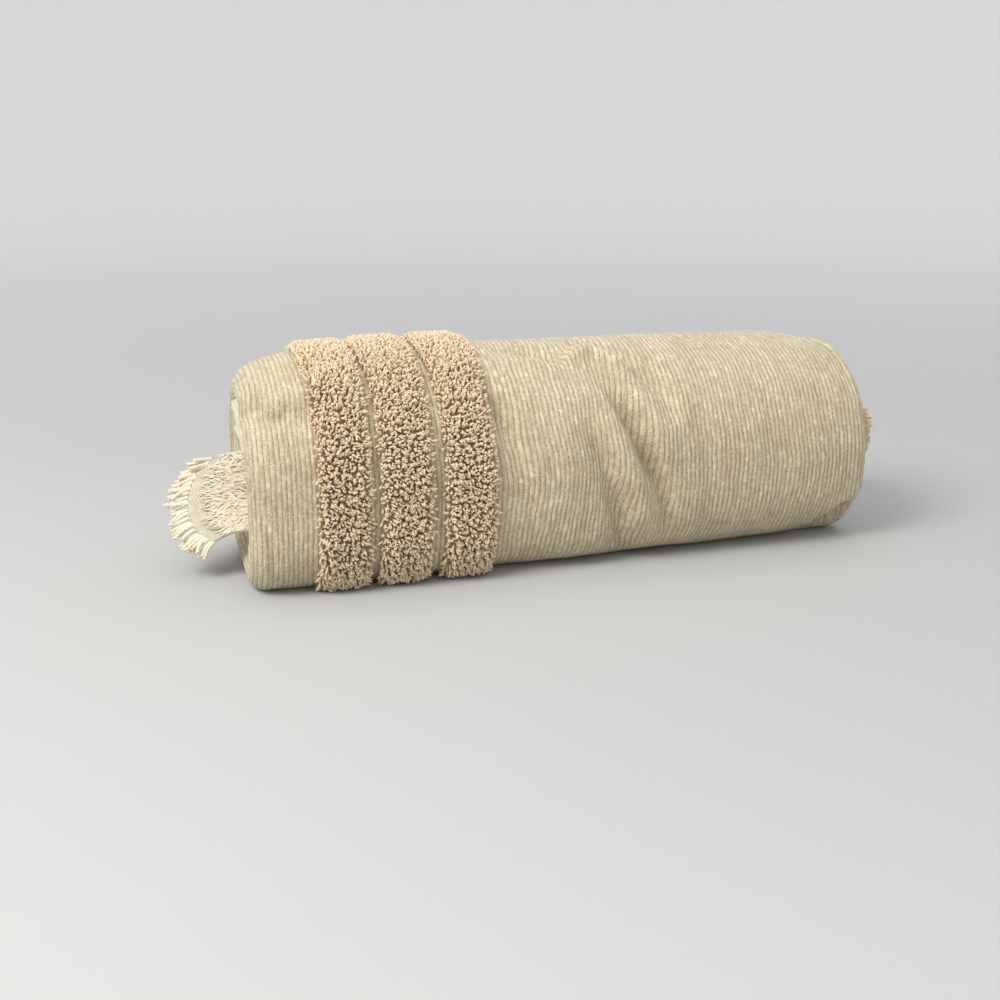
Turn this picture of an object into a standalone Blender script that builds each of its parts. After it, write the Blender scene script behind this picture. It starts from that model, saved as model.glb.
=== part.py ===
"""A chenille bedspread, folded in four along its length and rolled up, lying on a surface.

The roll's axis runs along X and its front faces -Y. It lies on z = 0, and the origin is on that
surface under the middle of the roll. A place on the roll is given by x, its distance along the
axis, and by up, its angle in degrees around the axis: 0 at the front, 90 on top, 180 at the back.
"""

import math
from collections import namedtuple

import bmesh
import bpy
import numpy as np

# Driving dimensions, in metres
LENGTH = 0.572  # from fold to fold along the roll
FOLD_RADIUS = 0.014  # of the cloth turning over at each end
END_DISH = 0.005  # how far the middle of each end lies inside its rim
END_SKEW = 0.014  # how much shorter the roll is at its back, at the left end
GAP = 0.0006  # clearance between neighbouring pieces
SINK = 0.005  # how far the soft underside would reach below the surface if it weren't flattened

PILE_CENTRES = (-0.209, -0.156, -0.101)
PILE_WIDTH = 0.045
PILE_HEIGHT = 0.009
PILE_SQUASHED = 0.003  # what is left of the pile beneath the roll
PILE_EDGE = 0.011  # over which the pile rises from its edge to its full height
LIFT_SLOPE = 0.002  # over which the underside comes down beside the pile

CLOTH = 0.003
FRINGE_TEETH = 13
FRINGE_THICK = 0.0032
FRINGE_SPINE = 0.003  # the comb's back, along the edge of the cloth

# Mesh fineness
STEP_UP, FINE_STEP_UP = 10, 5  # degrees between the points around the roll
FINE_UP = (-50, 100)  # where the creases need the finer step
ROW_SPACING, FINE_SPACING = 0.0145, 0.009
FINE_ROWS = (-0.055, 0.100)
TONGUE_STEPS_ACROSS = 12
TONGUE_STEPS_OUT = 6
TUFT_STEPS = 6

# One row for each measured cross-section of the roll. front and back are its reach from the axis,
# top is its height, belly is the height at which it is widest, and square says how boxy the lower
# half is: 2 is an ellipse, 4 a box with rounded corners.
Section = namedtuple("Section", "x front back top belly square")
SECTIONS = (
    Section(-0.286, 0.100, 0.090, 0.172, 0.080, 3.8),
    Section(-0.258, 0.104, 0.098, 0.182, 0.082, 3.8),
    Section(-0.210, 0.103, 0.101, 0.186, 0.083, 3.8),
    Section(-0.157, 0.102, 0.102, 0.188, 0.083, 3.7),
    Section(-0.104, 0.102, 0.102, 0.188, 0.083, 3.6),
    Section(-0.048, 0.103, 0.102, 0.187, 0.083, 3.4),
    Section(0.014, 0.105, 0.101, 0.186, 0.083, 3.2),
    Section(0.084, 0.105, 0.100, 0.186, 0.083, 3.0),
    Section(0.164, 0.104, 0.098, 0.184, 0.083, 2.8),
    Section(0.240, 0.101, 0.094, 0.181, 0.082, 2.5),
    Section(0.286, 0.097, 0.088, 0.172, 0.080, 2.3),
)
UPPER_SQUARE = 2.15
ARC = 0.0017  # metres around the roll for one degree

# The main troughs and ridges. width is from the middle of the crease to its brow, and the path is
# a few (x, up, depth) places. depth is into the roll, so a ridge has a negative one.
Crease = namedtuple("Crease", "name width path")
CREASES = (
    Crease("end trough", 0.010, ((-0.286, 56, 0.009), (-0.270, 50, 0.007), (-0.244, 42, 0.004))),
    Crease("end brow", 0.009, ((-0.262, 62, -0.002), (-0.238, 52, -0.003), (-0.222, 52, 0.0))),
    Crease("beside the pile", 0.013, ((-0.080, 46, 0.003), (-0.070, 30, 0.006), (-0.058, 16, 0.002))),
    Crease("top hollow", 0.010, ((-0.040, 76, 0.003), (-0.020, 72, 0.010), (-0.004, 66, 0.009))),
    Crease("lip", 0.009, ((-0.070, 64, 0.0), (-0.040, 62, -0.004), (-0.016, 56, -0.003))),
    Crease("top ridge", 0.011, ((0.008, 66, -0.004), (0.030, 70, -0.007), (0.050, 56, -0.005))),
    Crease("side trough", 0.012, ((0.028, 84, 0.005), (0.054, 64, 0.008), (0.084, 34, 0.003))),
    Crease("strip", 0.012, ((0.050, 56, -0.005), (0.066, 32, -0.005), (0.076, 14, -0.003))),
    Crease("deep trough", 0.011, ((0.030, 46, 0.004), (0.047, 26, 0.014), (0.060, 8, 0.015),
                                  (0.075, -10, 0.009), (0.084, -34, 0.004))),
    Crease("front ridge", 0.010, ((0.026, 22, -0.003), (0.042, 2, -0.005), (0.056, -20, -0.004))),
    Crease("soft trough", 0.012, ((0.008, 28, 0.003), (0.022, 3, 0.008), (0.037, -20, 0.009),
                                  (0.042, -36, 0.005))),
    Crease("low dimple", 0.011, ((0.242, -50, 0.006), (0.266, -34, 0.010))),
    Crease("free edge", 0.010, ((-0.286, 210, 0.005), (0.286, 210, 0.005))),
)

# The tongue of cloth at the left end, cut across: one row for each place along its free edge,
# from the lower front corner to the upper back one. y and z are where it leaves the roll, reach
# is how far it stands out, and droop how far it has sunk by then.
Tongue = namedtuple("Tongue", "y z reach droop")
TONGUE = (
    Tongue(-0.024, 0.040, 0.024, 0.008),
    Tongue(-0.012, 0.048, 0.038, 0.006),
    Tongue(0.004, 0.062, 0.043, 0.004),
    Tongue(0.020, 0.078, 0.036, 0.002),
    Tongue(0.036, 0.093, 0.018, 0.000),
)
TONGUE_CLEAR = 0.001  # between the tongue and the roll's end

# The fringe fans out from the tongue's edge. turn is the heading of the lowest and the highest
# strand below the horizontal, in degrees.
FRINGE_LENGTH = 0.032
FRINGE_TURN = (72, 8)

# The tuft of an inner turn's pile at the right end
TUFT_UP = (8, 30)
TUFT_INSET = 0.020
TUFT_PROUD = 0.011
TUFT_THICK = 0.012
TUFT_CLEAR = 0.001

COLOURS = {
    "ecru": (0.62, 0.53, 0.38),
    "tan": (0.55, 0.42, 0.28),
    "cream": (0.76, 0.70, 0.58),
}


def smooth(value):
    """0 below 0, 1 above 1, and an S curve between."""
    t = min(max(value, 0.0), 1.0)
    return t * t * (3 - 2 * t)


def along_table(rows, x):
    """The table's row at x, its columns read from a smooth curve through the rows."""
    table = np.array(rows)
    slopes = np.gradient(table, table[:, 0], axis=0)
    i = int(np.clip(np.searchsorted(table[:, 0], x) - 1, 0, len(table) - 2))
    span = table[i + 1, 0] - table[i, 0]
    t = float(np.clip((x - table[i, 0]) / span, 0, 1))
    start = (1 + 2 * t) * (1 - t) ** 2 * table[i] + t * (1 - t) ** 2 * span * slopes[i]
    end = t * t * (3 - 2 * t) * table[i + 1] + t * t * (t - 1) * span * slopes[i + 1]
    return type(rows[0])(*(start + end))


def crease_depth(x, up):
    """How far the troughs and ridges push the cloth in at a place on the roll."""
    place = np.array((x, ((up + 90) % 360 - 90) * ARC))
    total = 0.0
    for crease in CREASES:
        points = np.array(crease.path) * (1, ARC, 1)
        nearest, depth = math.inf, 0.0
        for a, b in zip(points[:-1], points[1:]):
            run = b[:2] - a[:2]
            along = float(np.clip((place - a[:2]) @ run / (run @ run), 0, 1))
            distance = math.hypot(*(place - a[:2] - along * run))
            if distance < nearest:
                nearest, depth = distance, a[2] + along * (b[2] - a[2])
        total += depth * math.exp(-((nearest / crease.width) ** 2))
    return total


def pile_lift(x):
    """How high the roll's underside is at x, above the pile squashed beneath it."""
    edge = PILE_WIDTH / 2 + GAP + LIFT_SLOPE / 2
    over_pile = any(abs(x - centre) < edge for centre in PILE_CENTRES)
    return PILE_SQUASHED + GAP if over_pile else 0.0


def end_shift(x, y):
    """How far the roll's left end is drawn in towards its back."""
    near_end = smooth((-x - LENGTH / 4) / (LENGTH / 4))
    return END_SKEW * near_end * (y + SECTIONS[0].front) / (2 * SECTIONS[0].front)


def on_roll(x, up, proud=0.0, floor=0.0):
    """The point of the roll's skin at (x, up), moved outwards by proud and kept above floor."""
    s = along_table(SECTIONS, x)
    across, rise = math.cos(math.radians(up)), math.sin(math.radians(up))
    half_width = s.front if across > 0 else s.back
    half_height = s.top - s.belly if rise > 0 else s.belly + SINK
    power = UPPER_SQUARE + (s.square - UPPER_SQUARE) * smooth(-3 * rise)
    radius = (abs(across / half_width) ** power + abs(rise / half_height) ** power) ** (-1 / power)
    radius += proud - crease_depth(x, up)
    y = -radius * across
    return x + end_shift(x, y), y, max(s.belly + radius * rise, floor)


def pile_rows():
    """The roll's rows at each pile band: beneath it, then just past the lift on either side."""
    edge = PILE_WIDTH / 2 + GAP
    offsets = (-edge - LIFT_SLOPE, -edge, 0, edge, edge + LIFT_SLOPE)
    return [centre + offset for centre in PILE_CENTRES for offset in offsets]


def body_rows():
    """Where the roll has a ring of points along its straight part."""
    flat = LENGTH / 2 - FOLD_RADIUS
    rows = pile_rows()
    clear = PILE_WIDTH / 2 + LIFT_SLOPE + ROW_SPACING / 2
    x = -flat
    while x < flat:
        if min(abs(x - centre) for centre in PILE_CENTRES) > clear:
            rows.append(x)
        x += FINE_SPACING if FINE_ROWS[0] < x < FINE_ROWS[1] else ROW_SPACING
    return sorted([*rows, flat])


def angles():
    low, high = FINE_UP
    return [*range(low, high, FINE_STEP_UP), *range(high, low + 360, STEP_UP)]


def fold_ring(side, turn):
    """The ring of points where the cloth at one end has turned over by turn degrees."""
    x = side * (LENGTH / 2 - FOLD_RADIUS * (1 - math.sin(math.radians(turn))))
    inset = FOLD_RADIUS * (1 - math.cos(math.radians(turn)))
    return [on_roll(x, up, -inset, inset) for up in angles()]


def end_middle(side):
    rim = np.mean(fold_ring(side, 90), axis=0)
    return rim - np.array((side * END_DISH, 0, 0))


def end_rings(side):
    """The rings that close one end, from the body outwards: the rounded fold, then the dish."""
    rim = fold_ring(side, 90)
    middle = end_middle(side)
    dish = [[tuple(p + (middle - p) * share) for p in np.array(rim)] for share in (0.4, 0.75)]
    return [fold_ring(side, 30), fold_ring(side, 60), rim, *dish]


def end_face_x(side, y, z):
    """Where the dished end lies, at a place given by y and z."""
    middle = end_middle(side)
    up = math.degrees(math.atan2(z - middle[2], middle[1] - y))
    ring = np.array(fold_ring(side, 90))
    bearings = np.degrees(np.arctan2(ring[:, 2] - middle[2], middle[1] - ring[:, 1]))
    rim = ring[np.argmin(np.abs((bearings - up + 180) % 360 - 180))]
    share = 1 - math.hypot(y - middle[1], z - middle[2]) / math.hypot(*(rim - middle)[1:])
    return rim[0] + (middle[0] - rim[0]) * share


def collection():
    made = bpy.data.collections.new("chenille_bedspread")
    bpy.context.scene.collection.children.link(made)
    return made


def material(name):
    made = bpy.data.materials.new(name)
    made.use_nodes = True
    shader = made.node_tree.nodes["Principled BSDF"]
    shader.inputs["Base Color"].default_value = (*COLOURS[name], 1)
    shader.inputs["Roughness"].default_value = 0.9
    shader.inputs["Metallic"].default_value = 0.0
    return made


def add_piece(name, shape, finish, parts):
    """Makes the object of a closed bmesh, faces outwards and shaded smooth."""
    bmesh.ops.recalc_face_normals(shape, faces=shape.faces)
    mesh = bpy.data.meshes.new(name)
    shape.to_mesh(mesh)
    shape.free()
    mesh.shade_smooth()
    mesh.materials.append(finish)
    piece = bpy.data.objects.new(name, mesh)
    parts.objects.link(piece)
    return piece


def add_loft(shape, rings, closed=True):
    """Joins rings of points, one to the next, and returns their vertices."""
    made = [[shape.verts.new(point) for point in ring] for ring in rings]
    for first, second in zip(made[:-1], made[1:]):
        count = len(first)
        for i in range(count if closed else count - 1):
            j = (i + 1) % count
            shape.faces.new((first[i], first[j], second[j], second[i]))
    return made


def make_roll(parts):
    body = [[on_roll(x, up, 0, pile_lift(x)) for up in angles()] for x in body_rows()]
    shape = bmesh.new()
    rings = add_loft(shape, end_rings(-1)[::-1] + body + end_rings(1))
    for ring, side in ((rings[0], -1), (rings[-1], 1)):
        hub = shape.verts.new(end_middle(side))
        for i, corner in enumerate(ring):
            shape.faces.new((corner, ring[(i + 1) % len(ring)], hub))
    return add_piece("bedspread_roll", shape, material("ecru"), parts)


def pile_profile():
    """A pile band cut across: (distance from its middle, height) all the way round."""
    half = PILE_WIDTH / 2
    inner = [(share * PILE_WIDTH, 0.0) for share in (-0.5, 0, 0.5)]
    rising = ((half, 0.55), (half - PILE_EDGE / 3, 0.86), (half - PILE_EDGE, 1.0))
    right = [(distance, height * PILE_HEIGHT) for distance, height in rising]
    left = [(-distance, height) for distance, height in right[::-1]]
    return inner + right + left


def make_pile_band(index, finish, parts):
    rings = []
    for up in angles():
        ring = []
        for offset, height in pile_profile():
            floor = 0.0 if height else PILE_SQUASHED
            ring.append(on_roll(PILE_CENTRES[index] + offset, up, GAP / 2 + height, floor))
        rings.append(ring)
    shape = bmesh.new()
    made = add_loft(shape, rings)
    first, last = made[0], made[-1]
    for i in range(len(first)):
        j = (i + 1) % len(first)
        shape.faces.new((last[i], last[j], first[j], first[i]))
    return add_piece(f"pile_band_{index + 1}", shape, finish, parts)


def solid_sheet(name, grid, thickness, finish, parts, keep=lambda row, column: True):
    """A sheet through a grid of points, given its thickness; keep says which of its cells exist."""
    shape = bmesh.new()
    corners = [[shape.verts.new(point) for point in row] for row in grid]
    for i in range(len(grid) - 1):
        for j in range(len(grid[0]) - 1):
            if keep(i, j):
                cell = corners[i][j], corners[i][j + 1], corners[i + 1][j + 1], corners[i + 1][j]
                shape.faces.new(cell)
    loose = [corner for corner in shape.verts if not corner.link_faces]
    bmesh.ops.delete(shape, geom=loose, context="VERTS")
    piece = add_piece(name, shape, finish, parts)
    thicken = piece.modifiers.new("thickness", "SOLIDIFY")
    thicken.thickness = thickness
    thicken.offset = 0
    return piece


def tongue_row(across):
    """The tongue's table read at across, from 0 at its lower corner to 1 at its upper one."""
    numbered = [(i / (len(TONGUE) - 1), *row) for i, row in enumerate(TONGUE)]
    placed = namedtuple("Placed", "across y z reach droop")
    return along_table([placed(*row) for row in numbered], across)


def on_tongue(across, out):
    """A point of the tongue, with out from 0 at the roll to 1 at the fringe."""
    row = tongue_row(across)
    start = end_face_x(-1, row.y, row.z) - TONGUE_CLEAR
    return start - row.reach * out, row.y, row.z - row.droop * out**2


def on_fringe(across, out):
    """A point of the fringe, with out in metres from the tongue's edge."""
    row = tongue_row(across)
    x, y, z = on_tongue(across, 1)
    dip = math.atan2(2 * row.droop, row.reach)
    last = math.radians(FRINGE_TURN[0] + (FRINGE_TURN[1] - FRINGE_TURN[0]) * across)
    steps = 6
    out += GAP
    for i in range(steps):
        turn = dip + (last - dip) * (i + 0.5) / steps * out / FRINGE_LENGTH
        x -= math.cos(turn) * out / steps
        z -= math.sin(turn) * out / steps
    return x, y, max(z, FRINGE_THICK / 2 + GAP)


def make_loose_end(parts):
    across = np.linspace(0, 1, TONGUE_STEPS_ACROSS + 1)
    outs = np.linspace(0, 1, TONGUE_STEPS_OUT + 1)
    grid = [[on_tongue(float(a), float(o)) for a in across] for o in outs]
    cream = material("cream")
    solid_sheet("loose_end", grid, CLOTH, cream, parts)
    edges = np.linspace(0, 1, 2 * FRINGE_TEETH)
    outs = (0, FRINGE_SPINE, FRINGE_LENGTH / 2, FRINGE_LENGTH)
    comb = [[on_fringe(float(a), o) for a in edges] for o in outs]
    is_cloth = lambda row, column: row == 0 or column % 2 == 0
    solid_sheet("fringe", comb, FRINGE_THICK, cream, parts, is_cloth)


def make_end_pile(finish, parts):
    """The tuft's cross-sections are half ovals that stand on the roll's right end."""
    first, last = TUFT_UP
    rings = []
    for step in range(TUFT_STEPS + 1):
        along = 2 * step / TUFT_STEPS - 1
        size = math.sqrt(max(1 - along**2, 0.2))
        up = first + (last - first) * step / TUFT_STEPS
        ring = []
        for turn in range(0, 181, 36):
            inset = TUFT_INSET + TUFT_THICK / 2 * size * math.cos(math.radians(turn))
            x, y, z = on_roll(LENGTH / 2, up, -inset)
            ring.append((x + TUFT_CLEAR + TUFT_PROUD * size * math.sin(math.radians(turn)), y, z))
        rings.append(ring)
    shape = bmesh.new()
    made = add_loft(shape, rings)
    shape.faces.new(made[0])
    shape.faces.new(made[-1])
    return add_piece("end_pile", shape, finish, parts)


def main():
    for thing in list(bpy.data.objects):
        bpy.data.objects.remove(thing, do_unlink=True)
    parts = collection()
    make_roll(parts)
    tan = material("tan")
    for index in range(len(PILE_CENTRES)):
        make_pile_band(index, tan, parts)
    make_loose_end(parts)
    make_end_pile(tan, parts)


main()
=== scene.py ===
"""The looks of the chenille bedspread, folded in four and rolled up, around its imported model.

Lengths are in metres. The roll's axis runs along X and its front faces -Y. A place on the roll is
x, along the axis, and up, in degrees around it: 0 at the front, 90 on top and 180 at the back.
"""

import math
from collections import namedtuple

import bpy
import numpy as np
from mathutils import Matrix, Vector


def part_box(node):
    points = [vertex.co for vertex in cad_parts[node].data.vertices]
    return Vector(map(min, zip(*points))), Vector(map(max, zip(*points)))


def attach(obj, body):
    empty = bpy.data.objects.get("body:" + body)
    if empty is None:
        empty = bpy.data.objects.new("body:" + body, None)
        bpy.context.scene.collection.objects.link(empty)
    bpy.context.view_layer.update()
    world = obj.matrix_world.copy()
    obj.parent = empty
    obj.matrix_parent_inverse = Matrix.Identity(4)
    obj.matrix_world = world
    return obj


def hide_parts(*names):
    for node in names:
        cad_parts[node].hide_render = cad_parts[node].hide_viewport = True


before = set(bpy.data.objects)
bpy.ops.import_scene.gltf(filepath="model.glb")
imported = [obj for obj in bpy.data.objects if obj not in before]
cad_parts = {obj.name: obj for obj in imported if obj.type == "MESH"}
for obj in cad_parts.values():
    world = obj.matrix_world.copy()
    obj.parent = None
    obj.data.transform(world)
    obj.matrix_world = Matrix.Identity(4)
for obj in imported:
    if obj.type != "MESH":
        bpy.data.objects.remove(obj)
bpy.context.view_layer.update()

# The roll, as in the model
LENGTH = 0.572
FOLD_RADIUS = 0.014  # of the cloth turned over at each end
END_DISH = 0.005  # how far the ends sink in towards their middle
END_SKEW = 0.014  # how much shorter the back is than the front, at the left end
SINK = 0.005  # how far the round form would reach below the floor, which flattens it
UPPER_SQUARE = 2.15  # the power of the upper half's outline, where 2 is an ellipse
ARC = 0.0017  # metres around the roll for one degree
PILE_CENTRES = (-0.209, -0.156, -0.101)
PILE_WIDTH = 0.045
PILE_SQUASHED = 0.003  # the pile's thickness beneath the roll

# Outlines along the roll: how far they reach to the front and back, how high their top and their
# widest line are, and the power of their lower half
Section = namedtuple("Section", "x front back top belly square")
SECTIONS = (
    Section(-0.286, 0.100, 0.090, 0.172, 0.080, 3.8),
    Section(-0.258, 0.104, 0.098, 0.182, 0.082, 3.8),
    Section(-0.210, 0.103, 0.101, 0.186, 0.083, 3.8),
    Section(-0.157, 0.102, 0.102, 0.188, 0.083, 3.7),
    Section(-0.104, 0.102, 0.102, 0.188, 0.083, 3.6),
    Section(-0.048, 0.103, 0.102, 0.187, 0.083, 3.4),
    Section(0.014, 0.105, 0.101, 0.186, 0.083, 3.2),
    Section(0.084, 0.105, 0.100, 0.186, 0.083, 3.0),
    Section(0.164, 0.104, 0.098, 0.184, 0.083, 2.8),
    Section(0.240, 0.101, 0.094, 0.181, 0.082, 2.5),
    Section(0.286, 0.097, 0.088, 0.172, 0.080, 2.3),
)

# Troughs and, where the depth is below zero, ridges: each has a width, and (x, up, depth) places
Crease = namedtuple("Crease", "name width path")
CREASES = (
    Crease("end trough", 0.010, ((-0.286, 54, 0.010), (-0.270, 44, 0.008), (-0.246, 36, 0.006),
                                 (-0.226, 40, 0.003))),
    Crease("end brow", 0.008, ((-0.280, 66, -0.003), (-0.262, 50, -0.004), (-0.242, 48, -0.004),
                               (-0.222, 54, -0.002))),
    Crease("beside the pile", 0.013, ((-0.080, 48, 0.004), (-0.072, 32, 0.009),
                                      (-0.060, 16, 0.004))),
    Crease("top hollow", 0.011, ((-0.046, 78, 0.004), (-0.022, 74, 0.014), (-0.004, 68, 0.011))),
    Crease("lip", 0.009, ((-0.070, 64, 0.0), (-0.040, 62, -0.004), (-0.016, 56, -0.003))),
    Crease("top ridge", 0.011, ((0.004, 64, -0.005), (0.028, 69, -0.009), (0.050, 56, -0.006))),
    Crease("side trough", 0.012, ((0.028, 84, 0.006), (0.056, 64, 0.010), (0.086, 34, 0.005))),
    Crease("strip", 0.012, ((0.050, 56, -0.005), (0.066, 32, -0.005), (0.076, 14, -0.003))),
    Crease("deep trough", 0.011, ((0.030, 46, 0.004), (0.047, 26, 0.014), (0.060, 8, 0.015),
                                  (0.075, -10, 0.009), (0.084, -34, 0.004))),
    Crease("front ridge", 0.010, ((0.026, 22, -0.003), (0.042, 2, -0.005), (0.056, -20, -0.004))),
    Crease("soft trough", 0.012, ((0.008, 28, 0.003), (0.022, 3, 0.008), (0.037, -20, 0.012),
                                  (0.042, -36, 0.009))),
    Crease("low dimple", 0.011, ((0.242, -50, 0.006), (0.266, -34, 0.010))),
)
FINE_CREASES = (
    Crease("end slit", 0.004, ((-0.284, 56, 0.005), (-0.262, 41, 0.005), (-0.240, 42, 0.003))),
    Crease("lower slit", 0.003, ((-0.280, 4, 0.002), (-0.272, -14, 0.003), (-0.268, -30, 0.002))),
    Crease("behind the lip", 0.005, ((-0.034, 72, 0.002), (-0.016, 66, 0.005), (-0.002, 63, 0.003))),
    Crease("lip edge", 0.005, ((-0.060, 66, -0.001), (-0.030, 62, -0.003), (-0.008, 58, -0.002))),
    Crease("brow", 0.006, ((0.002, 62, -0.002), (0.022, 66, -0.004), (0.042, 60, -0.004),
                           (0.054, 50, -0.002))),
    Crease("deep slit", 0.005, ((0.036, 40, 0.002), (0.050, 23, 0.006), (0.064, 6, 0.007),
                                (0.076, -12, 0.006), (0.083, -28, 0.004))),
    Crease("left bank", 0.006, ((0.024, 44, -0.001), (0.038, 22, -0.003), (0.050, 4, -0.004),
                                (0.064, -16, -0.003))),
    Crease("side slit", 0.006, ((0.030, 80, 0.002), (0.052, 62, 0.005), (0.078, 40, 0.003))),
    Crease("soft slit", 0.007, ((0.012, 20, 0.001), (0.026, -4, 0.004), (0.036, -24, 0.004),
                                (0.040, -36, 0.002))),
    Crease("pile shade", 0.008, ((-0.078, 50, 0.001), (-0.070, 36, 0.004), (-0.062, 22, 0.003),
                                 (-0.054, 6, 0.001))),
    Crease("left pull", 0.006, ((-0.052, 10, 0.0), (-0.046, -14, 0.0015), (-0.044, -34, 0.001))),
    Crease("right pull", 0.010, ((0.110, 30, 0.001), (0.122, -4, 0.003), (0.128, -34, 0.002))),
    Crease("far pull", 0.012, ((0.176, 44, 0.001), (0.190, 6, 0.002), (0.196, -30, 0.002))),
    Crease("low brow", 0.006, ((0.236, -42, -0.002), (0.256, -27, -0.003), (0.274, -22, -0.002))),
    Crease("end fold", 0.003, ((0.270, 116, 0.002), (0.271, 76, 0.003), (0.271, 40, 0.001))),
    Crease("end welt", 0.004, ((0.278, 116, -0.002), (0.279, 76, -0.003), (0.279, 40, -0.001))),
    Crease("low fold", 0.005, ((0.238, -34, 0.001), (0.254, -42, 0.004), (0.270, -34, 0.003))),
    Crease("back pull", 0.014, ((0.060, 150, 0.001), (0.040, 180, 0.004), (0.050, 205, 0.002))),
    Crease("back dent", 0.016, ((-0.150, 140, 0.001), (-0.190, 175, 0.003), (-0.200, 205, 0.002))),
    Crease("back ridge", 0.012, ((0.180, 130, -0.001), (0.200, 165, -0.003), (0.190, 205, -0.001))),
)

# The cloth of the outermost turn; its ribs run round the roll
RIB = 0.0043
RIB_HEIGHT = 0.0008
ROWS_PER_RIB = 4
HIDDEN_STEP = 0.009  # between rows of the cloth beneath the pile
HIDDEN_INSET = 0.004  # from the pile's edge to those rows
FOLD_TURN = 160  # degrees that the cloth turns over at each end
COLUMNS = 194
FREE_EDGE = 214  # where the outermost turn ends, low at the back
EDGE_PROUD = 0.002  # how far the free edge stands off the turn below it
EDGE_SPAN = 16  # degrees over which the cloth rises to its free edge
HEM_SPAN = 1.7  # degrees over which the free edge rolls in
HEM_DEPTH = 0.004
TUCK = 22  # degrees that the turn runs on beneath its own edge
TUCK_SPAN = 14  # degrees over which it sinks there
TUCK_DEPTH = 0.006
LIMIT = 0.0005  # how close the cloth comes to the surface below

# The tongue of cloth at the left end, from its lower to its upper corner: where it leaves the roll,
# how far it reaches from there, and how far its edge hangs down
Tongue = namedtuple("Tongue", "across y z reach droop")
TONGUE = (
    Tongue(0.00, -0.024, 0.040, 0.024, 0.008),
    Tongue(0.25, -0.012, 0.048, 0.038, 0.006),
    Tongue(0.50, 0.004, 0.062, 0.043, 0.004),
    Tongue(0.75, 0.020, 0.078, 0.036, 0.002),
    Tongue(1.00, 0.036, 0.093, 0.018, 0.000),
)
TONGUE_START = 0.006  # how far within the roll's end the tongue starts
TONGUE_CLEAR = 0.001
TONGUE_TILT = (0.0, -0.75, 0.66)  # the way that its upper face looks
FRINGE_LENGTH = 0.021
FRINGE_TURN = (62, 2)  # degrees that the strands bend down, at the lower and the upper corner


def smooth(value):
    t = np.clip(value, 0, 1)
    return t * t * (3 - 2 * t)


def unit(vectors):
    return vectors / np.maximum(np.linalg.norm(vectors, axis=-1, keepdims=True), 1e-12)


def noise(u, v, seed):
    """Smooth noise from -1 to 1 over a plane, with features about one unit across."""
    size = 256
    lattice = np.random.default_rng(seed).uniform(-1, 1, (size, size))
    i, j = np.floor(u).astype(int), np.floor(v).astype(int)
    s, t = smooth(u - i), smooth(v - j)
    near = lattice[i % size, j % size] * (1 - t) + lattice[i % size, (j + 1) % size] * t
    far = lattice[(i + 1) % size, j % size] * (1 - t) + lattice[(i + 1) % size, (j + 1) % size] * t
    return near * (1 - s) + far * s


def along_table(rows, at):
    """The table's columns at each place, read from smooth curves through its rows."""
    table = np.array(rows, float)
    places, at = table[:, 0], np.asarray(at, float)
    slopes = np.gradient(table, places, axis=0)
    i = np.clip(np.searchsorted(places, at) - 1, 0, len(table) - 2)
    span = (places[i + 1] - places[i])[..., None]
    t = np.clip((at[..., None] - places[i][..., None]) / span, 0, 1)
    start = (1 + 2 * t) * (1 - t) ** 2 * table[i] + t * (1 - t) ** 2 * span * slopes[i]
    end = t * t * (3 - 2 * t) * table[i + 1] + t * t * (t - 1) * span * slopes[i + 1]
    return np.moveaxis(start + end, -1, 0)


def crease_depth(x, up, creases):
    """How far the creases push the cloth in at each place."""
    once_round = np.mod(up + 90, 360) - 90
    place = np.stack((x, once_round * ARC), -1)
    total = np.zeros(x.shape)
    for crease in creases:
        points = np.array(crease.path) * (1, ARC, 1)
        nearest, depth = np.full(x.shape, np.inf), np.zeros(x.shape)
        for a, b in zip(points[:-1], points[1:]):
            run = b[:2] - a[:2]
            along = np.clip((place - a[:2]) @ run / (run @ run), 0, 1)
            distance = np.linalg.norm(place - a[:2] - along[..., None] * run, axis=-1)
            depth = np.where(distance < nearest, a[2] + along * (b[2] - a[2]), depth)
            nearest = np.minimum(distance, nearest)
        total += depth * np.exp(-((nearest / crease.width) ** 2))
    return total


def on_roll(x, up, proud=0.0, creases=CREASES):
    """The points of the roll's skin at (x, up), moved outwards by proud."""
    x, up, proud = np.broadcast_arrays(*(np.asarray(a, float) for a in (x, up, proud)))
    _, front, back, top, belly, square = along_table(SECTIONS, x)
    across, rise = np.cos(np.radians(up)), np.sin(np.radians(up))
    half_width = np.where(across > 0, front, back)
    half_height = np.where(rise > 0, top - belly, belly + SINK)
    power = UPPER_SQUARE + (square - UPPER_SQUARE) * smooth(-3 * rise)
    shape = np.abs(across / half_width) ** power + np.abs(rise / half_height) ** power
    radius = shape ** (-1 / power) + proud - crease_depth(x, up, creases)
    y = -radius * across
    near_end = smooth((-x - LENGTH / 4) / (LENGTH / 4))
    shift = END_SKEW * near_end * (y + SECTIONS[0].front) / (2 * SECTIONS[0].front)
    return np.stack((x + shift, y, belly + radius * rise), -1)


def above(points, floor):
    """The points, with those below the floor lifted onto it."""
    raised = points.copy()
    raised[..., 2] = np.maximum(points[..., 2], floor)
    return raised


def grid_normals(points):
    """The normals of a grid of points, from its rows and columns."""
    down, right = np.gradient(points, axis=0), np.gradient(points, axis=1)
    return unit(np.cross(down, right))


def grid_quads(rows, columns, closed=False):
    """The faces of a grid of points; closed joins its last column to its first."""
    last = columns if closed else columns - 1
    i, j = np.meshgrid(np.arange(rows - 1), np.arange(last), indexing="ij")
    k = (j + 1) % columns
    corners = (i * columns + j, i * columns + k, (i + 1) * columns + k, (i + 1) * columns + j)
    return np.stack(corners, -1).reshape(-1, 4)


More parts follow.
